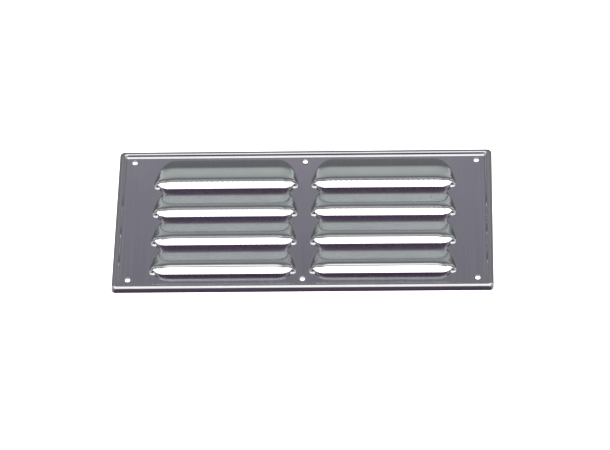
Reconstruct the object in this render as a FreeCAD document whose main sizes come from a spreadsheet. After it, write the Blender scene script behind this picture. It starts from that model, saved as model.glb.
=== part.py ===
import FreeCAD, Part
import math
import os
import Sketcher
from FreeCAD import Placement, Vector

# Louvred air grille: one pressed stainless plate with two columns of four hooded louvres, and behind
# it an insect screen of crossed wires held by six spot-welded strips.
# Frame: +X right, +Z up, and the front faces -Y. The wall is the plane Y = 0, and the origin is the
# centre of the plate's seat on that wall. "Height" in the names below is measured from the wall.

SIZES = [
    ("plate_width", 232.0),
    ("plate_height", 115.0),
    ("sheet", 0.8),
    ("field_back", 1.2),            # height of the back of the flat field
    ("rim_crest", 3.6),
    ("rim_land_inset", 3.1),        # outer edge to the rim's inner top corner, before rounding
    ("rim_flank_angle", 40.0),      # lean of the rim's inner flank away from upright
    ("rim_outer_round", 2.2),
    ("rim_inner_round", 1.7),
    ("rim_root_round", 1.1),
    ("corner_round", 2.6),
    ("column_spacing", 97.4),
    ("row_pitch", 23.55),
    ("bottom_slit", -44.35),        # Z of the lowest slit
    ("foot_half", 45.2),            # half length of a hood along its slit
    ("roof_half", 34.0),            # half length of a hood along its top
    ("hood_rise", 19.3),            # slit to the top of a hood
    ("hood_depth", 7.5),            # front of the field to the lip
    ("hole_span_x", 212.6),
    ("hole_span_z", 97.4),
    ("hole_radius", 1.5),
    ("wire", 0.22),
    ("mesh_pitch", 1.6),
    ("wire_tail", 0.3),             # how far a wire runs on past the last wire it crosses
    ("warp_count", 121.0),
    ("weft_count", 60.0),
    ("mesh_top", 47.6),             # Z of the top crossing wire
    ("notch_half", 4.6),
    ("notch_start", 44.1),
    ("notch_run", 10.0),
    ("strip_width", 5.4),
    ("strip_lap", 2.3),             # part of a strip's width that lies over the wires
    ("strip_joggle", 0.6),
    ("strip_sheet", 0.4),
    ("side_strip_inner", 94.4),
    ("side_strip_half", 44.4),
    ("top_strip_inner", 46.0),
    ("bottom_strip_inner", -45.1),
    ("level_strip_start", 5.2),
    ("level_strip_end", 98.8),
    ("weld_radius", 1.1),
    ("weld_depth", 0.1),
]

# Levels of a hood's cross-sections, as parts of its rise. The cavity stops just short of the roof's top.
HOOD_LEVELS = (0.0, 0.4, 0.7, 0.9)
OUTER_TOP = 1.0
CAVITY_TOP = 0.96
OUTLINE_POWER = 1.6
WELDS_PER_STRIP = 5

doc = FreeCAD.newDocument("louvred_grille")
sizes = doc.addObject("Spreadsheet::Sheet", "sizes")
for row, (alias, value) in enumerate(SIZES, start=1):
    sizes.set(f"A{row}", alias)
    sizes.set(f"B{row}", str(value))
    sizes.setAlias(f"B{row}", alias)
doc.recompute()


def new_body(label):
    """An empty body that carries its node's name."""
    body = doc.addObject("PartDesign::Body", label)
    body.Label = label
    body.Placement = Placement()
    return body


def origin_feature(body, role):
    """The body's own origin plane or axis with this role."""
    return next(f for f in body.Origin.OriginFeatures if f.Role == role)


def new_sketch(body, name, role, lift="0"):
    """A sketch flat on an origin plane of the body, lifted along that plane's normal."""
    sketch = body.newObject("Sketcher::SketchObject", name)
    sketch.AttachmentSupport = [(origin_feature(body, role), "")]
    sketch.MapMode = "FlatFace"
    sketch.setExpression("AttachmentOffset.Base.z", lift)
    return sketch


def bind(sketch, kind, refs, expression):
    """Add one dimension to a sketch and tie it to an expression."""
    value = float(sketch.evalExpression(expression))
    index = sketch.addConstraint(Sketcher.Constraint(kind, *refs, value))
    sketch.setExpression(f"Constraints[{index}]", expression)


def point_of(sketch, x, y):
    """The place that two expressions give now."""
    return Vector(float(sketch.evalExpression(x)), float(sketch.evalExpression(y)), 0)


def fix_point(sketch, edge, end, x, y):
    """Tie an edge's end, or an arc's centre, to two expressions."""
    bind(sketch, "DistanceX", (-1, 1, edge, end), x)
    bind(sketch, "DistanceY", (-1, 1, edge, end), y)


def polygon(sketch, points):
    """Add a closed outline through points whose coordinates are expressions."""
    places = [point_of(sketch, x, y) for x, y in points]
    first, count = sketch.GeometryCount, len(places)
    for i, place in enumerate(places):
        sketch.addGeometry(Part.LineSegment(place, places[(i + 1) % count]))
    for i in range(count):
        following = first + (i + 1) % count
        sketch.addConstraint(Sketcher.Constraint("Coincident", first + i, 2, following, 1))
    for i, (x, y) in enumerate(points):
        fix_point(sketch, first + i, 1, x, y)


def box_outline(sketch, low_x, low_y, high_x, high_y):
    """Add a rectangle between two corners."""
    polygon(sketch, [(low_x, low_y), (high_x, low_y), (high_x, high_y), (low_x, high_y)])


def centred_rectangle(sketch, half_width, half_height):
    """Add a rectangle centred on the sketch's origin."""
    box_outline(sketch, f"-({half_width})", f"-({half_height})", half_width, half_height)


def circle(sketch, x, y, radius):
    """A circle whose centre and radius are expressions."""
    size = float(sketch.evalExpression(radius))
    number = sketch.addGeometry(Part.Circle(point_of(sketch, x, y), Vector(0, 0, 1), size))
    fix_point(sketch, number, 3, x, y)
    bind(sketch, "Radius", (number,), radius)


def add_feature(body, kind, name, expressions=None, **properties):
    """A PartDesign feature with its plain properties and its expressions set."""
    feature = body.newObject(f"PartDesign::{kind}", name)
    for key, value in properties.items():
        setattr(feature, key, value)
    for key, expression in (expressions or {}).items():
        feature.setExpression(key, expression)
    doc.recompute()
    return feature


def names_where(shapes, kind, test):
    """Names, such as Edge3, of the edges or faces that pass a test."""
    return [f"{kind}{number}" for number, item in enumerate(shapes, start=1) if test(item)]


def lies_at(item, height):
    """Whether an edge or face lies wholly at one height above the wall."""
    box = item.BoundBox
    slack = 1e-4
    return abs(box.YMin + height) < slack and abs(box.YMax + height) < slack


def stands_between(edge, low, high):
    """Whether an edge runs from one height above the wall to another."""
    box = edge.BoundBox
    slack = 1e-4
    return abs(box.YMax + low) < slack and abs(box.YMin + high) < slack


def round_edges(body, name, base, test, radius):
    """Round the edges of a feature that pass a test."""
    edges = names_where(base.Shape.Edges, "Edge", test)
    return add_feature(body, "Fillet", name, {"Radius": radius}, Base=(base, edges))


# ---- louvre_plate ----

def skin_block(body, inset):
    """A block to the crest of the rim, its corners and outer edge rounded, drawn in by an inset."""
    outline = new_sketch(body, "outline", "XZ_Plane")
    centred_rectangle(outline, f"sizes.plate_width / 2 - {inset}", f"sizes.plate_height / 2 - {inset}")
    block = add_feature(body, "Pad", "block", {"Length": f"sizes.rim_crest - {inset}"}, Profile=outline)
    crest = float(block.Length)
    cornered = round_edges(body, "corners", block, lambda e: stands_between(e, 0, crest),
                           f"sizes.corner_round - {inset}")
    return round_edges(body, "rim_outside", cornered, lambda e: lies_at(e, crest),
                       f"sizes.rim_outer_round - {inset}")


def skin_field(body, inset):
    """Sink the flat field into the block, with a leaning flank that is rounded at crest and root."""
    shift = f"{inset} * (1 / cos(sizes.rim_flank_angle) - tan(sizes.rim_flank_angle))"
    well = new_sketch(body, "field_outline", "XZ_Plane", f"sizes.rim_crest - {inset}")
    centred_rectangle(well, f"sizes.plate_width / 2 - sizes.rim_land_inset + {shift}",
                      f"sizes.plate_height / 2 - sizes.rim_land_inset + {shift}")
    sunk = add_feature(body, "Pocket", "sunk_field",
                       {"Length": "sizes.rim_crest - sizes.field_back - sizes.sheet",
                        "TaperAngle": "-sizes.rim_flank_angle"}, Profile=well)
    crest = float(sizes.evalExpression(f"rim_crest - {inset}"))
    field = crest - float(sunk.Length)
    land_middle = "plate_width / 2 - (rim_outer_round + rim_land_inset) / 2"
    reach = float(sizes.evalExpression(land_middle))
    leaning = round_edges(body, "field_corners", sunk, lambda e: stands_between(e, field, crest),
                          f"sizes.rim_root_round + {inset}")
    rounded = round_edges(body, "rim_inside", leaning,
                          lambda e: lies_at(e, crest) and e.BoundBox.XMax < reach,
                          f"sizes.rim_inner_round - {inset}")
    return round_edges(body, "rim_root", rounded, lambda e: lies_at(e, field),
                       f"sizes.rim_root_round + {inset}")


def plate_tray(body):
    """The pressed tray: the front skin's solid less the hollow behind it."""
    hollow = new_body("plate_hollow")
    for skin, inset in ((body, "0"), (hollow, "sizes.sheet")):
        skin_block(skin, inset)
        skin_field(skin, inset)
    cut = add_feature(body, "Boolean", "hollow_back", Type="Cut")
    cut.setObjects([hollow])
    doc.recompute()
    return cut


def hood_section(body, name, level, inset):
    """One level of a hood: a flat-topped arch that stands on the back of the field, drawn in by an inset."""
    along = f"(1 - {level}^{OUTLINE_POWER})^(1 / {OUTLINE_POWER})"
    half = f"(sizes.roof_half + (sizes.foot_half - sizes.roof_half) * {along})"
    outer_radius = f"(sizes.hood_depth * (1 - {level}) + sizes.sheet)"
    radius = f"({outer_radius} - {inset})"
    middle = "-sizes.column_spacing / 2"
    base = "-sizes.field_back"
    sketch = new_sketch(body, name, "XY_Plane", f"sizes.bottom_slit + {level} * sizes.hood_rise")
    left, right = f"{middle} - ({half} - {outer_radius})", f"{middle} + ({half} - {outer_radius})"
    crown = f"{base} - {radius}"
    corners = [point_of(sketch, f"{left} - {radius}", base), point_of(sketch, f"{right} + {radius}", base)]
    crowns = [point_of(sketch, right, crown), point_of(sketch, left, crown)]
    hubs = [point_of(sketch, right, base), point_of(sketch, left, base)]
    size = float(sketch.evalExpression(radius))
    flat, quarter = Vector(0, 0, 1), math.pi / 2
    sketch.addGeometry(Part.LineSegment(corners[0], corners[1]))
    sketch.addGeometry(Part.ArcOfCircle(Part.Circle(hubs[0], flat, size), -quarter, 0))
    sketch.addGeometry(Part.LineSegment(crowns[0], crowns[1]))
    sketch.addGeometry(Part.ArcOfCircle(Part.Circle(hubs[1], flat, size), -2 * quarter, -quarter))
    for first, end, second, start in ((0, 2, 1, 2), (1, 1, 2, 1), (2, 2, 3, 2), (3, 1, 0, 1)):
        sketch.addConstraint(Sketcher.Constraint("Coincident", first, end, second, start))
    for arc, foot, top, hub in ((1, 2, 1, right), (3, 1, 2, left)):
        fix_point(sketch, arc, 3, hub, base)
        bind(sketch, "Radius", (arc,), radius)
        sketch.addConstraint(Sketcher.Constraint("Horizontal", arc, 3, arc, foot))
        sketch.addConstraint(Sketcher.Constraint("Vertical", arc, 3, arc, top))
    return sketch


def hood_loft(body, kind, name, top, inset):
    """A hood's solid, lofted from its mouth at the slit up to where its roof meets the field."""
    levels = HOOD_LEVELS + (top,)
    sections = [hood_section(body, f"{name}_{i}", level, inset) for i, level in enumerate(levels)]
    return add_feature(body, kind, name, Profile=sections[0], Sections=sections[1:])


def repeat(body, name, features, steps):
    """Repeat features along axes of the body. Each step is an axis role, a total length and a count."""
    pattern = body.newObject("PartDesign::MultiTransform", name)
    pattern.Originals = features
    moves = []
    for i, (role, length, count) in enumerate(steps):
        move = body.newObject("PartDesign::LinearPattern", f"{name}_{i}")
        move.Direction = (origin_feature(body, role), [""])
        move.setExpression("Length", length)
        move.Occurrences = count
        moves.append(move)
    pattern.Transformations = moves
    body.Tip = pattern
    doc.recompute()
    return pattern


def screw_hole(body):
    """The screw hole nearest the lower left corner."""
    outline = new_sketch(body, "hole_outline", "XZ_Plane")
    circle(outline, "-sizes.hole_span_x / 2", "-sizes.hole_span_z / 2", "sizes.hole_radius")
    return add_feature(body, "Pocket", "screw_hole", Profile=outline, Type="ThroughAll", Reversed=True)


def louvre_plate():
    """The pressed plate: tray, screw holes and two columns of four hoods."""
    body = new_body("louvre_plate")
    plate_tray(body)
    hole = screw_hole(body)
    repeat(body, "screw_holes", [hole],
           [("X_Axis", "sizes.hole_span_x", 3), ("Z_Axis", "sizes.hole_span_z", 2)])
    hood = hood_loft(body, "AdditiveLoft", "hood", OUTER_TOP, "0")
    cavity = hood_loft(body, "SubtractiveLoft", "cavity", CAVITY_TOP, "sizes.sheet")
    repeat(body, "hoods", [hood, cavity],
           [("X_Axis", "sizes.column_spacing", 2), ("Z_Axis", "3 * sizes.row_pitch", 4)])
    return body


# ---- insect screen ----

MESH_BOTTOM = "(sizes.mesh_top - (sizes.weft_count - 1) * sizes.mesh_pitch)"
MESH_SIDE = "((sizes.warp_count - 1) * sizes.mesh_pitch / 2)"


def cut_notches(body):
    """Clear the wires away from the two middle screw holes."""
    notches = new_sketch(body, "notches", "XZ_Plane")
    far = "(sizes.notch_start + sizes.notch_run)"
    box_outline(notches, "-sizes.notch_half", "sizes.notch_start", "sizes.notch_half", far)
    box_outline(notches, "-sizes.notch_half", f"-{far}", "sizes.notch_half", "-sizes.notch_start")
    add_feature(body, "Pocket", "notch_cut", Profile=notches, Type="ThroughAll", SideType="Symmetric")


def upright_wires():
    """The screen's wires that run up and down, next to the back of the field."""
    body = new_body("screen_upright_wires")
    outline = new_sketch(body, "wire_outline", "XY_Plane", f"{MESH_BOTTOM} - sizes.wire_tail")
    circle(outline, f"-{MESH_SIDE}", "-(sizes.field_back - sizes.wire / 2)", "sizes.wire / 2")
    wire = add_feature(body, "Pad", "wire_run",
                       {"Length": f"sizes.mesh_top - {MESH_BOTTOM} + 2 * sizes.wire_tail"},
                       Profile=outline)
    repeat(body, "wires", [wire], [("X_Axis", f"2 * {MESH_SIDE}", int(sizes.warp_count))])
    cut_notches(body)
    return body


def level_wires():
    """The screen's wires that run side to side, behind the upright ones."""
    body = new_body("screen_level_wires")
    outline = new_sketch(body, "wire_outline", "YZ_Plane", f"-{MESH_SIDE} - sizes.wire_tail")
    circle(outline, "-(sizes.field_back - 1.5 * sizes.wire)", MESH_BOTTOM, "sizes.wire / 2")
    wire = add_feature(body, "Pad", "wire_run", {"Length": f"2 * ({MESH_SIDE} + sizes.wire_tail)"},
                       Profile=outline)
    repeat(body, "wires", [wire],
           [("Z_Axis", f"sizes.mesh_top - {MESH_BOTTOM}", int(sizes.weft_count))])
    cut_notches(body)
    return body


# ---- strips that hold the screen ----

def strip_profile(place):
    """A joggled strip's section: its lap clears the wires, and its outer part lies on the field."""
    lap, bend, outer = "sizes.strip_lap", "(sizes.strip_lap + sizes.strip_joggle)", "sizes.strip_width"
    over, on = "(sizes.field_back - 2 * sizes.wire)", "sizes.field_back"
    back = "sizes.strip_sheet"
    corners = [("0", over), (lap, over), (bend, on), (outer, on), (outer, f"({on} - {back})"),
               (bend, f"({on} - {back})"), (lap, f"({over} - {back})"), ("0", f"({over} - {back})")]
    return [place(across, height) for across, height in corners]


def weld_pits(body, places):
    """Shallow round marks left by spot welding in the strip's outer part."""
    pits = new_sketch(body, "weld_outline", "XZ_Plane", "sizes.field_back - sizes.strip_sheet")
    for x, z in places:
        circle(pits, x, z, "sizes.weld_radius")
    add_feature(body, "Pocket", "weld_pits", {"Length": "sizes.weld_depth"}, Profile=pits, Reversed=True)


def weld_steps(start, length):
    """Evenly spaced places along a strip."""
    return [f"{start} + {length} * {(i + 0.5) / WELDS_PER_STRIP}" for i in range(WELDS_PER_STRIP)]


WELD_LINE = "(sizes.strip_lap + sizes.strip_joggle + sizes.strip_width) / 2"


def level_strip(label, side, edge, sign):
    """Half of the top or bottom strip. Side is -1 on the left and 1 on the right, and sign 1 at the top."""
    body = new_body(label)
    run = "(sizes.level_strip_end - sizes.level_strip_start)"
    start = "sizes.level_strip_start" if side > 0 else "-sizes.level_strip_end"
    outline = new_sketch(body, "strip_outline", "YZ_Plane", start)
    polygon(outline, strip_profile(lambda across, height: (f"-{height}", f"{edge} + {sign} * {across}")))
    add_feature(body, "Pad", "strip_run", {"Length": run}, Profile=outline)
    weld_pits(body, [(x, f"{edge} + {sign} * {WELD_LINE}") for x in weld_steps(start, run)])
    return body


def side_strip(label, side):
    """The left or right strip. Side is -1 on the left and 1 on the right."""
    body = new_body(label)
    inner, run = "sizes.side_strip_inner", "(2 * sizes.side_strip_half)"
    outline = new_sketch(body, "strip_outline", "XY_Plane", "-sizes.side_strip_half")
    polygon(outline, strip_profile(
        lambda across, height: (f"{side} * ({inner} + {across})", f"-{height}")))
    add_feature(body, "Pad", "strip_run", {"Length": run}, Profile=outline)
    steps = weld_steps("-sizes.side_strip_half", run)
    weld_pits(body, [(f"{side} * ({inner} + {WELD_LINE})", z) for z in steps])
    return body


def screen_strips():
    """The six strips, named by where they are when the grille is seen from the front."""
    strips = []
    for side, name in ((-1, "left"), (1, "right")):
        strips.append(side_strip(f"screen_strip_{name}", side))
        strips.append(level_strip(f"screen_strip_top_{name}", side, "sizes.top_strip_inner", 1))
        strips.append(level_strip(f"screen_strip_bottom_{name}", side, "sizes.bottom_strip_inner", -1))
    return strips


# ---- build, check and write ----

def check_document():
    """Stop if any object of the document failed."""
    for item in doc.Objects:
        if "Invalid" in item.State or "Error" in item.State:
            raise RuntimeError(f"{item.Label}: {item.getStatusString()}")


def write_node(body):
    """Check one sub-part's shape and write its STEP file."""
    if body.Shape.isNull() or not body.Shape.isValid():
        raise RuntimeError(f"{body.Label} has no valid shape")
    body.Shape.exportStep(f"parts/{body.Label}.step")
    box = body.Shape.BoundBox
    print(f"{body.Label}: {len(body.Shape.Solids)} solids, {body.Shape.Volume:.1f} mm3,",
          f"{box.XLength:.1f} x {box.YLength:.1f} x {box.ZLength:.1f} mm")


nodes = [louvre_plate(), upright_wires(), level_wires()] + screen_strips()
doc.recompute()
check_document()
os.makedirs("parts", exist_ok=True)
for node in nodes:
    write_node(node)
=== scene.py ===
import bmesh
import bpy
import math
import numpy as np
from mathutils import Matrix, Vector


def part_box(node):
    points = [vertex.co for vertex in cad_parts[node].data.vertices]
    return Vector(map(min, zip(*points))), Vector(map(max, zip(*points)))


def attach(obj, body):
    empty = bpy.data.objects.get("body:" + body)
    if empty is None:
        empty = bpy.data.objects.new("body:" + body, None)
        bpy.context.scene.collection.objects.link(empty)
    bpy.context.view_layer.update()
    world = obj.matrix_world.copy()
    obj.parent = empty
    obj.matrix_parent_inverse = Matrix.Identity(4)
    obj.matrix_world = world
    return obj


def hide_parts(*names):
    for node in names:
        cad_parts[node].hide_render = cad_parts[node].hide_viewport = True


# Louvred air grille. The plate is rebuilt as one smooth pressed sheet and the insect screen as woven
# wires. Lengths in the mesh code are millimetres, in the CAD frame: the front faces -Y, the wall is
# Y = 0, and "height" is the distance from the wall.

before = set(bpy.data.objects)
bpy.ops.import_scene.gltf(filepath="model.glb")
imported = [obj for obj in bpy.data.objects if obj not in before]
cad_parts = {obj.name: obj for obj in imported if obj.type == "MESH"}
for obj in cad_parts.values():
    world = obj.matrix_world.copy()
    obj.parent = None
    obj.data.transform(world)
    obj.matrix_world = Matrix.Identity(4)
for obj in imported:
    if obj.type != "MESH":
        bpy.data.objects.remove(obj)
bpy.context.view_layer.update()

MM = 0.001
SHARP = 50                      # degrees between faces from which an edge isn't smoothed
SHEET = 0.8
FIELD = 2.0                     # height of the front of the flat field
plate_low, plate_high = (np.array(corner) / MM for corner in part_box("louvre_plate"))
HALF_WIDTH = float(plate_high[0] - plate_low[0]) / 2
HALF_HEIGHT = float(plate_high[2] - plate_low[2]) / 2
BOW = 0.22                      # how far the field springs outward in the middle
LIP = float(-plate_low[1]) - FIELD - BOW - 0.06   # height of a hood's lip above the field

# Hoods
COLUMNS = (-48.7, 48.7)
SLITS = (-44.35, -20.8, 2.75, 26.3)
RISE = 19.3                     # cut to where the grid's rows get closer again
TIP = 43.0                      # half length of the cut
FOOT = 44.1                     # half length of a hood's foot at the cut
ROOF = 31.0                     # half length of the level part of the lip
OUTLINE_POWER = 1.9             # roundness of a hood's outline
# Slope of a roof down to its lip, by distance above the cut
ROOF_PLACES = (0.0, 1.4, 2.1, 6.0, 12.0, 15.5, 18.0, 20.0, 24.0, 24.6)
ROOF_SLOPES = (-0.135, -0.125, 0.35, 0.41, 0.44, 0.41, 0.22, 0.10, 0.05, 0.0)
CURL_START, CURL_RUN = 36.0, 7.5        # where along a cut the bend begins, and over what length
CURL_END, CURL_FADE = 46.0, 3.0         # where past a tip it fades out, and over what length
CURL_BELOW, CURL_ABOVE = 5.5, 9.0       # how far from the cut it reaches
CURL = 2.2                      # how far a cut bends upward at its ends
TEAR = 2.6                      # length over which the edge below a cut lifts to meet its tip
TEAR_DROP = 1.7                 # how far below the cut that lift dies away
LIP_RUN = 1.6                   # length over which the edge above a cut comes down to its tip
SOFTNESS = 0.4                  # how far the press rounds a hood's foot

# Rim and screw holes
RIM_RUN = 5.8                   # outer edge to where the flat field starts
RIM_CREST = 3.6
RIM_FOOT = 0.5                  # height of the first row above the wall
RIM_LEAN = 40.0                 # degrees the inner flank leans from upright
RIM_LAND = 3.25                 # outer edge to the rim's inner top corner, before rounding
RIM_OUTER, RIM_INNER, RIM_ROOT = 2.2, 1.2, 2.15   # radii of the outer, inner and root bends
BOW_HALF = HALF_HEIGHT - RIM_RUN
BOW_LENGTH = HALF_WIDTH - RIM_RUN
CORNER_CELLS = 8
HOLES = [(x, z) for x in (-106.3, 0.0, 106.3) for z in (-48.7, 48.7)]
HOLE_CELLS = 16                 # grid cells along each side of the square round a hole
HOLE_HALF = 3.0                 # half of that square's side
# Radius and height round a hole, from the sheet to its wall, punched over a little at the front
HOLE_FRONT = [(2.6, 2.0), (2.2, 2.0), (1.9, 2.0), (1.75, 1.99), (1.64, 1.95), (1.55, 1.87), (1.5, 1.75)]
HOLE_BACK = [(2.6, 1.2), (2.2, 1.2), (1.9, 1.2), (1.7, 1.2), (1.6, 1.2), (1.53, 1.2), (1.5, 1.24)]
CORNER_ROUND = 2.6              # the plate's corner radius at its edge
CORNER_TIGHTEN = 0.28           # how fast that radius falls with the inset

# Screen
WIRE = 0.22
PITCH = 1.6
WIRE_SIDES = 6
NOTCH_X, NOTCH_Z = 4.6, 44.1    # the wires are cut short round the two middle screw holes


# ---- surface of the pressed plate ----

def roof_heights(v):
    """Height of a hood's roof above the field: rolled over at the lip, bowed, then eased into the field."""
    fine = np.arange(0, ROOF_PLACES[-1] + 0.01, 0.01)
    slope = np.interp(fine, ROOF_PLACES, ROOF_SLOPES)
    height = np.cumsum(slope[::-1])[::-1]
    height = height / height.max()
    lip_slope = (height[1] - height[0]) / (fine[1] - fine[0])
    return LIP * np.where(v < 0, height[0] + lip_slope * v, np.interp(v, fine, height, right=0.0))


def hood_samples(step=0.2, low_v=-8.0, high_v=26.0, low_u=22.0, high_u=54.0):
    """Heights of one hood on a fine grid, softened by the press, whole and cut off below the slit."""
    u = np.arange(low_u, high_u, step)
    v = np.arange(low_v, high_v, step)
    level = np.clip(v / ROOF_PLACES[-1], 0, 1)[:, None]
    reach = (1 - level ** OUTLINE_POWER) ** (1 / OUTLINE_POWER)
    width = ROOF + (FOOT - ROOF) * reach
    across = np.clip((u[None, :] - ROOF) / np.maximum(width - ROOF, 1e-3), 0, 1)
    whole = roof_heights(v)[:, None] * np.sqrt(1 - across ** 2)
    below = v < -step / 2
    cut = np.where(below[:, None], 0.0, whole)
    return u, v, soften(whole, SOFTNESS / step), soften(cut, 0.9 * SOFTNESS / step)


def soften(grid, sigma):
    """Blur a height grid, repeating its edge values."""
    reach = int(4 * sigma) + 1
    weights = np.exp(-0.5 * (np.arange(-reach, reach + 1) / sigma) ** 2)
    weights /= weights.sum()
    for axis in (0, 1):
        pad = [(reach, reach) if axis == i else (0, 0) for i in (0, 1)]
        padded = np.pad(grid, pad, mode="edge")
        grid = sum(w * np.take(padded, np.arange(i, i + grid.shape[axis]), axis=axis)
                   for i, w in enumerate(weights))
    return grid


GRID_U, GRID_V, WHOLE, CUT = hood_samples()


def sample(grid, u, v):
    """A height grid read between its points."""
    step = GRID_U[1] - GRID_U[0]
    a = np.clip((u - GRID_U[0]) / step, 0, len(GRID_U) - 1.001)
    b = np.clip((v - GRID_V[0]) / step, 0, len(GRID_V) - 1.001)
    i, j = a.astype(int), b.astype(int)
    s, t = a - i, b - j
    low = grid[j, i] * (1 - s) + grid[j, i + 1] * s
    high = grid[j + 1, i] * (1 - s) + grid[j + 1, i + 1] * s
    return low * (1 - t) + high * t


def smooth_step(t):
    """0 to 1 with level ends."""
    t = np.clip(t, 0, 1)
    return t * t * (3 - 2 * t)


def hood_height(x, z, slit_row, above):
    """Height above the field near one cut. Above says which side of the cut is read."""
    u = np.minimum(np.abs(x - COLUMNS[0]), np.abs(x - COLUMNS[1]))
    v = z - SLITS[slit_row]
    if above:
        cut = sample(CUT, u, v)
        whole = sample(WHOLE, u, np.maximum(v, 0))
        return cut + (whole - cut) * smooth_step((TIP - u) / LIP_RUN)
    lifted = sample(CUT, u, np.zeros_like(v)) * smooth_step(1 + v / TEAR_DROP)
    return lifted * (1 - smooth_step((TIP - u) / TEAR))


def field_height(x, z, side):
    """Front height at a point of the field. Side is 1 just above a cut and -1 just below."""
    height = FIELD + BOW * (1 - (z / BOW_HALF) ** 2) * (1 - (x / BOW_LENGTH) ** 2)
    for row, slit in enumerate(SLITS):
        v = z - slit
        above = (v > 1e-6) | ((np.abs(v) <= 1e-6) & (side > 0))
        near = (v > -7.5) & (v < ROOF_PLACES[-1] + 0.6)
        rise = np.where(above, hood_height(x, z, row, True), hood_height(x, z, row, False))
        height = height + np.where(near, rise, 0.0)
    return height


def graded(start, stop, first, last):
    """Places from start to stop whose spacing grows or shrinks from first to last."""
    run = abs(stop - start)
    count = max(1, int(round(2 * run / (first + last))))
    steps = np.linspace(first, last, count)
    places = np.concatenate([[0.0], np.cumsum(steps)]) / steps.sum()
    return list(start + (stop - start) * places)


def chain(*runs):
    """One rising list of places from several touching ones."""
    places = []
    for run in runs:
        places += run if not places else run[1:]
    return places


def column_places():
    """X of the grid's columns on the right half, mirrored to the left."""
    cell = 2 * HOLE_HALF / HOLE_CELLS
    middle = COLUMNS[1]
    hole = HOLES[-1][0]
    inner, outer = HALF_WIDTH - RIM_RUN, hole + HOLE_HALF
    half = chain(
        graded(0, HOLE_HALF, cell, cell),
        graded(HOLE_HALF, middle - TIP, 0.5, 0.3),
        graded(middle - TIP, middle - ROOF + 1.5, 0.24, 0.6),
        graded(middle - ROOF + 1.5, middle, 0.7, 4.5),
        graded(middle, middle + ROOF - 1.5, 4.5, 0.7),
        graded(middle + ROOF - 1.5, middle + TIP, 0.6, 0.24),
        graded(middle + TIP, middle + TIP + 5, 0.3, 0.6),
        graded(middle + TIP + 5, hole - HOLE_HALF, 0.6, 0.5),
        graded(hole - HOLE_HALF, outer, cell, cell),
        graded(outer, inner, cell, cell))
    return np.array([-x for x in half[:0:-1]] + half)


def row_places():
    """Z of the grid's rows, with a row on each cut."""
    cell = 2 * HOLE_HALF / HOLE_CELLS
    top = HALF_HEIGHT - RIM_RUN
    hole = HOLES[-1][1]
    runs = [graded(-top, -hole + HOLE_HALF, cell, cell),
            graded(-hole + HOLE_HALF, SLITS[0], cell, 0.15)]
    for i, slit in enumerate(SLITS):
        end = SLITS[i + 1] if i + 1 < len(SLITS) else hole - HOLE_HALF
        runs.append(graded(slit, slit + 3, 0.1, 0.7))
        runs.append(graded(slit + 3, slit + RISE - 3, 0.7, 0.6))
        if i + 1 < len(SLITS):
            runs.append(graded(slit + RISE - 3, slit + RISE + 1.5, 0.5, 0.5))
            runs.append(graded(slit + RISE + 1.5, end, 0.5, 0.15))
        else:
            runs.append(graded(slit + RISE - 3, end, 0.5, 0.45))
    runs.append(graded(hole - HOLE_HALF, top, cell, cell))
    return np.array(chain(*runs))


def rim_profile():
    """The rim's section as front and back points: inset from the outer edge, and height."""
    flank = math.pi / 2 - math.radians(RIM_LEAN)          # slope of the flank from level
    points = [(0.0, height, math.pi / 2) for height in (0.0, RIM_FOOT, RIM_CREST - RIM_OUTER)]
    for k in range(1, 8):
        a = math.pi / 2 * (1 - k / 7)
        points.append((RIM_OUTER * (1 - math.sin(a)), RIM_CREST - RIM_OUTER * (1 - math.cos(a)), a))
    land_end = RIM_LAND - RIM_INNER * math.tan(flank / 2)
    points.append((land_end, RIM_CREST, 0.0))
    for k in range(1, 7):
        a = flank * k / 6
        points.append((land_end + RIM_INNER * math.sin(a), RIM_CREST - RIM_INNER * (1 - math.cos(a)), -a))
    flank_inset, flank_height, _ = points[-1]
    root_height = FIELD + RIM_ROOT * (1 - math.cos(flank))
    root_inset = flank_inset + (flank_height - root_height) / math.tan(flank)
    for k in range(7):
        a = flank * (1 - k / 6)
        points.append((root_inset + RIM_ROOT * (math.sin(flank) - math.sin(a)),
                       FIELD + RIM_ROOT * (1 - math.cos(a)), -a))
    front = [(inset, height) for inset, height, _ in points]
    back = [(inset + SHEET * math.sin(a), height - SHEET * math.cos(a)) for inset, height, a in points]
    back[:2] = [(SHEET, 0.0), (SHEET, RIM_FOOT)]
    return front, back


class Builder:
    """Collects vertices and faces, with one vertex for each key."""

    def __init__(self):
        self.points, self.faces, self.keys = [], [], {}
        self.slots, self.slot = [], 0

    def vertex(self, key, point):
        """The vertex with this key, made if it is new."""
        if key not in self.keys:
            self.keys[key] = len(self.points)
            self.points.append(tuple(float(c) for c in point))
        return self.keys[key]

    def face(self, corners, flip=False):
        """One face, unless it has collapsed."""
        corners = [c for i, c in enumerate(corners) if c != corners[i - 1]]
        if len(corners) > 2:
            self.faces.append(corners[::-1] if flip else corners)
            self.slots.append(self.slot)

    def strip(self, first, second, closed=False, flip=False):
        """Faces between two equal rows of vertices."""
        count = len(first)
        for i in range(count if closed else count - 1):
            j = (i + 1) % count
            self.face((first[i], first[j], second[j], second[i]), flip)


def cut_at(x, z):
    """Whether a place is on a cut, strictly between its tips."""
    on_row = any(abs(z - slit) < 1e-6 for slit in SLITS)
    return on_row and any(abs(x - middle) < TIP - 1e-6 for middle in COLUMNS)


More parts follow.
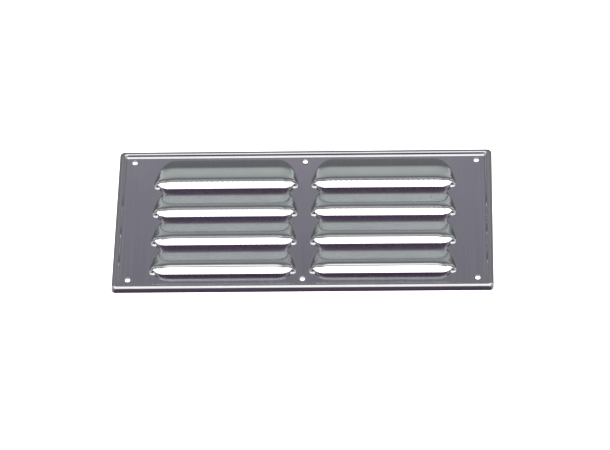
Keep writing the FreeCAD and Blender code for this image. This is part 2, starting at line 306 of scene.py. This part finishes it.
def sheet_points(xs, zs, side):
    """Front and back points of the sheet over the grid. Side is 1 or -1 at the edges of cuts, else 0."""
    x, z = np.meshgrid(xs, zs, indexing="ij")
    step = 0.05
    height = field_height(x, z, side)
    along = (field_height(x + step, z, side) - field_height(x - step, z, side)) / (2 * step)
    if side:
        up = side * (field_height(x, z + side * step, side) - height) / step
    else:
        up = (field_height(x, z + step, 0) - field_height(x, z - step, 0)) / (2 * step)
    size = np.sqrt(1 + along ** 2 + up ** 2)
    shift = 0.0 if side else SHEET * up / size
    back = np.stack([x + SHEET * along / size, -height + SHEET / size, z + shift], axis=-1)
    return cut_curl(np.stack([x, -height, z], axis=-1)), cut_curl(back)


def cut_curl(points):
    """Bend the sheet's points with the ends of the cuts, which turn up a little in the plate's plane."""
    x, z = points[..., 0], points[..., 2].copy()
    u = np.minimum(np.abs(x - COLUMNS[0]), np.abs(x - COLUMNS[1]))
    ends = smooth_step((u - CURL_START) / CURL_RUN) * (1 - smooth_step((u - CURL_END) / CURL_FADE))
    for slit in SLITS:
        v = z - slit
        near = np.where(v < 0, smooth_step(1 + v / CURL_BELOW), smooth_step(1 - v / CURL_ABOVE))
        points[..., 2] += CURL * ends * near
    return points


def build_field(mesh, xs, zs):
    """The flat field and its hoods, except for the squares round the holes."""
    points = {side: sheet_points(xs, zs, side) for side in (0, 1, -1)}
    for i, x in enumerate(xs):
        for j, z in enumerate(zs):
            for side in ((1, -1) if cut_at(x, z) else (0,)):
                front, back = points[side]
                mesh.vertex(("f", i, j, side), front[i, j])
                mesh.vertex(("b", i, j, side), back[i, j])
    for i in range(len(xs) - 1):
        for j in range(len(zs) - 1):
            middle_x, middle_z = (xs[i] + xs[i + 1]) / 2, (zs[j] + zs[j + 1]) / 2
            if any(max(abs(middle_x - x), abs(middle_z - z)) < HOLE_HALF for x, z in HOLES):
                continue
            for layer in "fb":
                corners = [pick(mesh, layer, i, j, 1), pick(mesh, layer, i + 1, j, 1),
                           pick(mesh, layer, i + 1, j + 1, -1), pick(mesh, layer, i, j + 1, -1)]
                mesh.face(corners, flip=layer == "b")


def pick(mesh, layer, i, j, side):
    """A grid vertex, on the asked side of a cut if it is on one."""
    plain = (layer, i, j, 0)
    return mesh.keys[plain] if plain in mesh.keys else mesh.keys[(layer, i, j, side)]


def build_cut_edges(mesh, xs, zs):
    """The sheared faces along both sides of every cut."""
    for j, z in enumerate(zs):
        for i in range(len(xs) - 1):
            if not (cut_at(xs[i], z) or cut_at(xs[i + 1], z)):
                continue
            for side in (1, -1):
                corners = [pick(mesh, "f", i, j, side), pick(mesh, "b", i, j, side),
                           pick(mesh, "b", i + 1, j, side), pick(mesh, "f", i + 1, j, side)]
                mesh.face(corners, flip=side < 0)


def build_holes(mesh, xs, zs):
    """Round screw holes, rolled over a little at the front by the punch."""
    for number, (x, z) in enumerate(HOLES):
        i0 = int(np.argmin(np.abs(xs - (x - HOLE_HALF))))
        j0 = int(np.argmin(np.abs(zs - (z - HOLE_HALF))))
        n = HOLE_CELLS
        ring = ([(i0 + k, j0) for k in range(n)] + [(i0 + n, j0 + k) for k in range(n)]
                + [(i0 + n - k, j0 + n) for k in range(n)] + [(i0, j0 + n - k) for k in range(n)])
        angles = [math.atan2(zs[j] - z, xs[i] - x) for i, j in ring]
        last = {}
        for layer, profile in (("f", HOLE_FRONT), ("b", HOLE_BACK)):
            before = [mesh.keys[(layer, i, j, 0)] for i, j in ring]
            for k, (radius, height) in enumerate(profile):
                row = [mesh.vertex((layer, "hole", number, k, m),
                                   (x + radius * math.cos(a), -height, z + radius * math.sin(a)))
                       for m, a in enumerate(angles)]
                mesh.strip(before, row, closed=True, flip=layer == "b")
                before = row
            last[layer] = before
        mesh.strip(last["f"], last["b"], closed=True)


def rim_path(xs, zs):
    """Grid places round the field's edge, each with how far round a corner it is."""
    n = CORNER_CELLS // 2
    right, top = len(xs) - 1, len(zs) - 1
    ring = [(i, 0) for i in range(right)] + [(right, j) for j in range(top)]
    ring += [(right - i, top) for i in range(right)] + [(0, top - j) for j in range(top)]
    total = len(ring)
    marks = {0: (-1, -1), right: (1, -1), right + top: (1, 1), 2 * right + top: (-1, 1)}
    result = []
    for k, (i, j) in enumerate(ring):
        turn = None
        for mark, signs in marks.items():
            offset = (k - mark + total // 2) % total - total // 2
            if abs(offset) <= n:
                turn = (signs, (offset + n) / (2 * n))
        result.append((i, j, turn))
    return result


def rim_point(x, z, turn, inset, height):
    """A point of the rim at an inset from the plate's edge."""
    wide, tall = HALF_WIDTH - inset, HALF_HEIGHT - inset
    if turn is None:
        if abs(abs(z) - (HALF_HEIGHT - RIM_RUN)) < 1e-6:
            return (x, -height, math.copysign(tall, z))
        return (math.copysign(wide, x), -height, z)
    (sx, sz), part = turn
    radius = max(CORNER_ROUND - CORNER_TIGHTEN * inset, 0.3)
    start = {(-1, -1): math.pi, (1, -1): 1.5 * math.pi, (1, 1): 0.0, (-1, 1): 0.5 * math.pi}[(sx, sz)]
    angle = start + part * math.pi / 2
    return (sx * (wide - radius) + radius * math.cos(angle), -height,
            sz * (tall - radius) + radius * math.sin(angle))


def build_rim(mesh, xs, zs):
    """The raised bead round the plate, turned down to the wall at its outer edge."""
    path = rim_path(xs, zs)
    front, back = rim_profile()
    last = {}
    for layer, profile in (("f", front), ("b", back)):
        before = [mesh.keys[(layer, i, j, 0)] for i, j, _ in path]
        for k in reversed(range(len(profile))):
            inset, height = profile[k]
            row = [mesh.vertex((layer, "rim", k, m), rim_point(xs[i], zs[j], turn, inset, height))
                   for m, (i, j, turn) in enumerate(path)]
            mesh.strip(row, before, closed=True, flip=layer == "b")
            before = row
        last[layer] = before
    mesh.strip(last["b"], last["f"], closed=True)


def to_object(mesh, name, materials):
    """A smooth-shaded Blender object in metres from collected faces."""
    data = bpy.data.meshes.new(name)
    data.from_pydata([tuple(c * MM for c in p) for p in mesh.points], [], mesh.faces)
    data.polygons.foreach_set("use_smooth", [True] * len(data.polygons))
    data.polygons.foreach_set("material_index", mesh.slots)
    for material in materials:
        data.materials.append(material)
    piece = bpy.data.objects.new(name, data)
    bpy.context.scene.collection.objects.link(piece)
    return piece


def build_plate(materials):
    """The whole pressed plate as one closed sheet."""
    xs, zs = column_places(), row_places()
    mesh = Builder()
    build_field(mesh, xs, zs)
    mesh.slot = 1
    build_cut_edges(mesh, xs, zs)
    mesh.slot = 0
    build_holes(mesh, xs, zs)
    build_rim(mesh, xs, zs)
    plate = to_object(mesh, "louvre_plate_pressed", materials)
    work = bmesh.new()
    work.from_mesh(plate.data)
    for side in work.edges:
        if len(side.link_faces) == 2 and side.calc_face_angle(0) > math.radians(SHARP):
            side.smooth = False
    work.to_mesh(plate.data)
    work.free()
    return plate


# ---- woven screen ----

def crimped(mesh, number, along, across, axis, middle, crests):
    """One wire that bends over and under the wires it crosses. Axis 0 runs along X and axis 2 along Z."""
    radius = WIRE / 2
    corners = [(radius * math.cos(a), radius * math.sin(a))
               for a in (math.pi * k / (WIRE_SIDES / 2) for k in range(WIRE_SIDES))]
    before = None
    for k, (place, crest) in enumerate(zip(along, crests)):
        ring = []
        for m, (deep, aside) in enumerate(corners):
            height = middle - crest * radius + deep
            point = (place, height, across + aside) if axis == 0 else (across + aside, height, place)
            ring.append(mesh.vertex((number, k, m), point))
        if before:
            mesh.strip(before, ring, closed=True, flip=axis == 0)
        else:
            mesh.face(ring, flip=axis == 0)
        before = ring
    mesh.face(before, flip=axis == 2)


def wire_run(low, high, crossings, parity):
    """Places along a wire, two for each crossing, and which way it bends at each."""
    inside = [(c, (-1) ** (k + parity)) for k, c in enumerate(crossings) if low < c < high]
    places, crests = [low], [inside[0][1]]
    for c, crest in inside:
        for place in (c - PITCH / 4, c + PITCH / 4):
            if low + 0.1 < place < high - 0.1:
                places.append(place)
                crests.append(crest)
    return places + [high], crests + [inside[-1][1]]


def build_screen():
    """The insect screen's upright and level wires, woven through each other."""
    upright = [np.array(c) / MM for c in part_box("screen_upright_wires")]
    level = [np.array(c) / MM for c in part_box("screen_level_wires")]
    middle = float(upright[0][1] + level[1][1]) / 2
    xs = np.arange(upright[0][0] + WIRE / 2, upright[1][0], PITCH)
    zs = np.arange(level[0][2] + WIRE / 2, level[1][2], PITCH)
    uprights, levels = Builder(), Builder()
    for i, x in enumerate(xs):
        low, high = float(upright[0][2]), float(upright[1][2])
        if abs(x) < NOTCH_X:
            low, high = -NOTCH_Z, NOTCH_Z
        along, crests = wire_run(low, high, zs, i)
        crimped(uprights, i, along, float(x), 2, middle, crests)
    for j, z in enumerate(zs):
        low, high = float(level[0][0]), float(level[1][0])
        runs = [(low, high)] if abs(z) < NOTCH_Z else [(low, -NOTCH_X), (NOTCH_X, high)]
        for part, (start, end) in enumerate(runs):
            along, crests = wire_run(start, end, xs, j + 1)
            crimped(levels, (j, part), along, float(z), 0, middle, crests)
    return uprights, levels


# ---- materials ----

class Material:
    """A metal made of nodes, with helpers that each add one step."""

    def __init__(self, name, metallic=1.0):
        self.data = bpy.data.materials.new(name)
        self.data.use_nodes = True
        self.nodes, self.links = self.data.node_tree.nodes, self.data.node_tree.links
        self.shader = self.nodes["Principled BSDF"]
        self.shader.inputs["Metallic"].default_value = metallic
        self.place = self.nodes.new("ShaderNodeTexCoord").outputs["Object"]
        self.normal = None

    def add(self, kind, inputs, output=0, **settings):
        """A node with its inputs set or linked. The result is one of its outputs."""
        item = self.nodes.new(kind)
        for key, value in settings.items():
            setattr(item, key, value)
        for key, value in inputs.items():
            self.fill(item.inputs[key], value)
        return item.outputs[output]

    def fill(self, socket, value):
        """Set a socket, or link it if the value is another node's output."""
        if isinstance(value, bpy.types.NodeSocket):
            self.links.new(value, socket)
        else:
            socket.default_value = value

    def noise(self, scale, detail=2.0, offset=(0, 0, 0)):
        """Noise with its own number of cells a metre along each axis."""
        spread = self.add("ShaderNodeMapping", {"Vector": self.place, "Location": offset, "Scale": scale})
        return self.add("ShaderNodeTexNoise", {"Vector": spread, "Scale": 1.0, "Detail": detail})

    def shade(self, value, stops):
        """A value turned into a colour."""
        item = self.nodes.new("ShaderNodeValToRGB")
        marks = item.color_ramp.elements
        marks[0].position, marks[1].position = stops[0][0], stops[-1][0]
        marks[0].color, marks[1].color = (*stops[0][1], 1), (*stops[-1][1], 1)
        for position, colour in stops[1:-1]:
            marks.new(position).color = (*colour, 1)
        self.links.new(value, item.inputs[0])
        return item.outputs[0]

    def span(self, value, low, high, start=0.3, end=0.7):
        """A value between start and end moved to between low and high."""
        return self.add("ShaderNodeMapRange", {"Value": value, "From Min": start, "From Max": end,
                                               "To Min": low, "To Max": high})

    def calc(self, operation, first, second=0.0):
        """One step of arithmetic."""
        return self.add("ShaderNodeMath", {0: first, 1: second}, operation=operation)

    def blend(self, kind, factor, first, second):
        """Two colours mixed."""
        item = self.nodes.new("ShaderNodeMix")
        item.data_type, item.blend_type = "RGBA", kind
        for socket, value in zip([item.inputs[0], item.inputs[6], item.inputs[7]], [factor, first, second]):
            self.fill(socket, value)
        return item.outputs[2]

    def bump(self, height, distance):
        """Raise the surface by a pattern, in metres, on top of the bumps so far."""
        inputs = {"Height": height, "Distance": distance, "Strength": 1.0}
        if self.normal:
            inputs["Normal"] = self.normal
        self.normal = self.add("ShaderNodeBump", inputs)

    def finish(self, colour, roughness):
        """Connect the results to the shader."""
        self.fill(self.shader.inputs["Base Color"], colour)
        self.fill(self.shader.inputs["Roughness"], roughness)
        if self.normal:
            self.fill(self.shader.inputs["Normal"], self.normal)
        return self.data


def polished_steel():
    """Bright pressed stainless: faint polishing lines, handling smudges and slight waves of the sheet."""
    made = Material("polished_steel")
    waves = made.noise((14, 10, 7), 1.0)
    lines = made.noise((900, 900, 9), 3.0)
    smudges = made.noise((38, 38, 30), 4.0, (3, 1, 7))
    scratches = made.noise((30, 400, 2600), 2.0, (1, 5, 2))
    polish = [(0.3, (0.545, 0.54, 0.56)), (0.5, (0.56, 0.555, 0.575)), (0.7, (0.575, 0.57, 0.59))]
    dulled = made.shade(smudges, [(0.35, (0.95, 0.955, 0.96)), (0.6, (1, 1, 1))])
    colour = made.blend("MULTIPLY", 1.0, made.shade(lines, polish), dulled)
    roughness = made.calc("ADD", made.span(lines, 0.085, 0.125), made.span(smudges, 0.04, 0.0, 0.35, 0.6))
    made.bump(waves, 0.0002)
    made.bump(lines, 0.0000008)
    made.bump(scratches, 0.0000001)
    return made.finish(colour, roughness)


def sheared_edge():
    """Raw cut metal, with the tool's streaks across the sheet's thickness."""
    made = Material("sheared_edge", 0.6)
    streaks = made.noise((1500, 60, 60), 3.0)
    grain = made.noise((2500, 2500, 2500), 2.0)
    colour = made.shade(streaks, [(0.3, (0.42, 0.42, 0.43)), (0.7, (0.66, 0.66, 0.67))])
    made.bump(streaks, 0.00003)
    made.bump(grain, 0.00001)
    return made.finish(colour, made.span(streaks, 0.38, 0.6))


def wire_steel():
    """Drawn wire: duller than the plate, with a fine grain, uneven tone and a little grime."""
    made = Material("wire_steel")
    grain = made.noise((4000, 4000, 4000), 2.0)
    batches = made.noise((90, 90, 90), 2.0)
    colour = made.shade(batches, [(0.3, (0.50, 0.50, 0.50)), (0.7, (0.63, 0.63, 0.62))])
    grime = made.shade(grain, [(0.3, (0.86, 0.86, 0.86)), (0.6, (1, 1, 1))])
    colour = made.blend("MULTIPLY", 1.0, colour, grime)
    made.bump(grain, 0.000006)
    return made.finish(colour, made.span(grain, 0.24, 0.4))


def strip_steel(name, along, first, pitch, across, middle, line):
    """Rolled strip with a satin mill finish and a heat tint round each weld.

    Welds lie at first, first + pitch and so on along one axis, on a line on both sides of a middle.
    """
    made = Material(name)
    split = made.nodes.new("ShaderNodeSeparateXYZ")
    made.links.new(made.place, split.inputs[0])
    far = made.calc("ABSOLUTE", split.outputs[along])
    turns = made.calc("DIVIDE", made.calc("SUBTRACT", far, first), pitch)
    step = made.calc("SUBTRACT", turns, made.calc("ROUND", turns))
    run = made.calc("MULTIPLY", step, pitch)
    off = made.calc("ABSOLUTE", made.calc("SUBTRACT", split.outputs[across], middle))
    aside = made.calc("SUBTRACT", off, line)
    squares = [made.calc("MULTIPLY", length, length) for length in (run, aside)]
    distance = made.calc("SQRT", made.calc("ADD", *squares))
    ragged = made.calc("ADD", distance, made.span(made.noise((700, 700, 700), 2.0), -0.0003, 0.0003))
    tint = made.shade(made.span(ragged, 0.0, 1.0, 0.0, 0.004), [
        (0.0, (0.50, 0.49, 0.48)), (0.27, (0.42, 0.42, 0.45)), (0.38, (0.34, 0.38, 0.55)),
        (0.50, (0.50, 0.36, 0.42)), (0.66, (0.72, 0.56, 0.33)), (0.85, (0.80, 0.74, 0.62)),
        (1.0, (1, 1, 1))])
    lengthwise = (25, 900, 1600) if along == "X" else (1600, 900, 25)
    lines = made.noise(lengthwise, 3.0)
    stains = made.noise((60, 60, 60), 3.0, (2, 4, 1))
    colour = made.shade(lines, [(0.3, (0.55, 0.55, 0.55)), (0.7, (0.66, 0.66, 0.65))])
    colour = made.blend("MULTIPLY", 1.0, colour, tint)
    roughness = made.calc("ADD", made.span(lines, 0.26, 0.36), made.span(stains, 0.0, 0.08))
    made.bump(lines, 0.000004)
    return made.finish(colour, roughness)


def add_piece(mesh, name, materials, node):
    """Show a mesh in place of a CAD node."""
    piece = to_object(mesh, name, materials)
    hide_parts(node)
    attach(piece, "root")


plate = build_plate([polished_steel(), sheared_edge()])
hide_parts("louvre_plate")
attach(plate, "root")

wire = wire_steel()
uprights, levels = build_screen()
add_piece(uprights, "screen_upright_wires_woven", [wire], "screen_upright_wires")
add_piece(levels, "screen_level_wires_woven", [wire], "screen_level_wires")

# The strips' weld marks, in metres: the first, their pitch, and the line that they lie on
side_steel = strip_steel("strip_steel_side", "Z", 0.0, 0.01776, "X", 0.0, 0.09855)
level_steel = strip_steel("strip_steel_level", "X", 0.01456, 0.01872, "Z", 0.00045, 0.0497)
for name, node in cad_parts.items():
    if "strip" in name:
        is_level = "top" in name or "bottom" in name
        node.data.materials.clear()
        node.data.materials.append(level_steel if is_level else side_steel)


# ---- studio ----

# Light from far to the left and right, by the upward part of its direction
STUDIO_WALLS = [
    (-1.0, (0.30, 0.30, 0.31)),
    (-0.35, (0.36, 0.37, 0.38)),
    (0.0, (0.60, 0.61, 0.62)),
    (0.25, (0.95, 0.96, 0.97)),
    (0.5, (0.90, 0.91, 0.92)),
    (0.62, (0.28, 0.29, 0.29)),
    (0.8, (0.26, 0.27, 0.27)),
    (1.0, (0.50, 0.51, 0.52)),
]

# Angle from the plate's outward normal up towards +Z, in degrees, and the light from there
STUDIO_BANDS = [
    (-180, (0.18, 0.10, 0.20)),
    (-150, (0.10, 0.07, 0.12)),
    (-110, (0.12, 0.09, 0.13)),
    (-60, (0.13, 0.11, 0.14)),
    (-44, (0.11, 0.09, 0.12)),
    (-34, (1.5, 1.5, 1.5)),
    (26, (1.9, 1.9, 1.9)),
    (33, (0.42, 0.41, 0.44)),
    (40, (0.21, 0.21, 0.25)),
    (45, (0.45, 0.43, 0.49)),
    (50, (0.22, 0.22, 0.24)),
    (70, (0.20, 0.22, 0.21)),
    (80, (0.30, 0.33, 0.32)),
    (90, (0.58, 0.64, 0.62)),
    (97, (0.62, 0.68, 0.65)),
    (104, (1.7, 1.7, 1.7)),
    (122, (1.7, 1.7, 1.7)),
    (130, (1.35, 1.47, 1.41)),
    (144, (1.35, 1.47, 1.41)),
    (151, (0.75, 0.75, 0.77)),
    (157, (0.40, 0.36, 0.42)),
    (165, (0.25, 0.18, 0.28)),
    (180, (0.18, 0.10, 0.20)),
]


def studio_ramp(nodes, stops):
    """A ramp through lights that may be as bright as 2, stored at half strength."""
    ramp = nodes.new("ShaderNodeValToRGB")
    elements = ramp.color_ramp.elements
    while len(elements) > 1:
        elements.remove(elements[-1])
    for k, (position, light) in enumerate(stops):
        stop = elements[0] if k == 0 else elements.new(position)
        stop.position = position
        stop.color = (*(c / 2 for c in light), 1)
    return ramp


def build_world():
    """A white room for the camera, and a studio's bright and dark bands for what the metal mirrors."""
    world = bpy.data.worlds.new("studio")
    bpy.context.scene.world = world
    world.use_nodes = True
    nodes, links = world.node_tree.nodes, world.node_tree.links
    nodes.clear()
    place = nodes.new("ShaderNodeTexCoord")
    split = nodes.new("ShaderNodeSeparateXYZ")
    links.new(place.outputs["Generated"], split.inputs[0])
    flip = nodes.new("ShaderNodeMath")
    flip.operation = "MULTIPLY"
    flip.inputs[1].default_value = -1.0
    links.new(split.outputs["Y"], flip.inputs[0])
    angle = nodes.new("ShaderNodeMath")
    angle.operation = "ARCTAN2"
    links.new(split.outputs["Z"], angle.inputs[0])
    links.new(flip.outputs[0], angle.inputs[1])
    span = nodes.new("ShaderNodeMapRange")
    span.inputs["From Min"].default_value = -math.pi
    span.inputs["From Max"].default_value = math.pi
    links.new(angle.outputs[0], span.inputs["Value"])
    ramp = studio_ramp(nodes, [((degrees + 180) / 360, light) for degrees, light in STUDIO_BANDS])
    links.new(span.outputs[0], ramp.inputs[0])
    mirrored = nodes.new("ShaderNodeBackground")
    mirrored.inputs["Strength"].default_value = 2.0
    aside = nodes.new("ShaderNodeMath")
    aside.operation = "ABSOLUTE"
    links.new(split.outputs["X"], aside.inputs[0])
    reach = nodes.new("ShaderNodeMapRange")
    reach.interpolation_type = "SMOOTHSTEP"
    reach.inputs["From Min"].default_value = 0.4
    reach.inputs["From Max"].default_value = 0.62
    links.new(aside.outputs[0], reach.inputs["Value"])
    level = nodes.new("ShaderNodeMapRange")
    level.inputs["From Min"].default_value = -1.0
    links.new(split.outputs["Z"], level.inputs["Value"])
    sides = studio_ramp(nodes, [((z + 1) / 2, light) for z, light in STUDIO_WALLS])
    links.new(level.outputs[0], sides.inputs[0])
    walls = nodes.new("ShaderNodeMix")
    walls.data_type = "RGBA"
    links.new(sides.outputs[0], walls.inputs[7])
    links.new(reach.outputs[0], walls.inputs[0])
    links.new(ramp.outputs[0], walls.inputs[6])
    links.new(walls.outputs[2], mirrored.inputs["Color"])
    seen = nodes.new("ShaderNodeBackground")
    seen.inputs["Color"].default_value = (1, 1, 1, 1)
    seen.inputs["Strength"].default_value = 2.2
    ray = nodes.new("ShaderNodeLightPath")
    mix = nodes.new("ShaderNodeMixShader")
    links.new(ray.outputs["Is Camera Ray"], mix.inputs[0])
    links.new(mirrored.outputs[0], mix.inputs[1])
    links.new(seen.outputs[0], mix.inputs[2])
    output = nodes.new("ShaderNodeOutputWorld")
    links.new(mix.outputs[0], output.inputs[0])


def build_floor():
    """A plain pale floor far below the grille."""
    data = bpy.data.meshes.new("floor")
    size, depth = 30.0, -2.7
    corners = [(-size, -size, depth), (size, -size, depth), (size, size, depth), (-size, size, depth)]
    data.from_pydata(corners, [], [(0, 1, 2, 3)])
    floor = bpy.data.objects.new("floor", data)
    bpy.context.scene.collection.objects.link(floor)
    material = bpy.data.materials.new("floor")
    material.use_nodes = True
    shader = material.node_tree.nodes["Principled BSDF"]
    shader.inputs["Base Color"].default_value = (0.9, 0.9, 0.9, 1)
    shader.inputs["Roughness"].default_value = 0.9
    data.materials.append(material)
    floor.visible_glossy = False


def build_camera():
    """The camera, below the grille and looking up at it."""
    data = bpy.data.cameras.new("camera")
    data.lens = 236.946
    data.sensor_width = 36.0
    camera = bpy.data.objects.new("camera", data)
    bpy.context.scene.collection.objects.link(camera)
    right = Vector((0.999274, 0.033253, 0.018614))
    up = Vector((0.008568, -0.672001, 0.740501))
    back = Vector((0.037133, -0.739803, -0.671798))
    place = Vector((0.0922528, -1.8249814, -1.6601817))
    turn = Matrix((right, up, back)).transposed().to_4x4()
    camera.matrix_world = Matrix.Translation(place) @ turn
    bpy.context.scene.camera = camera


build_world()
build_floor()
build_camera()
bpy.context.scene.view_settings.view_transform = "Standard"
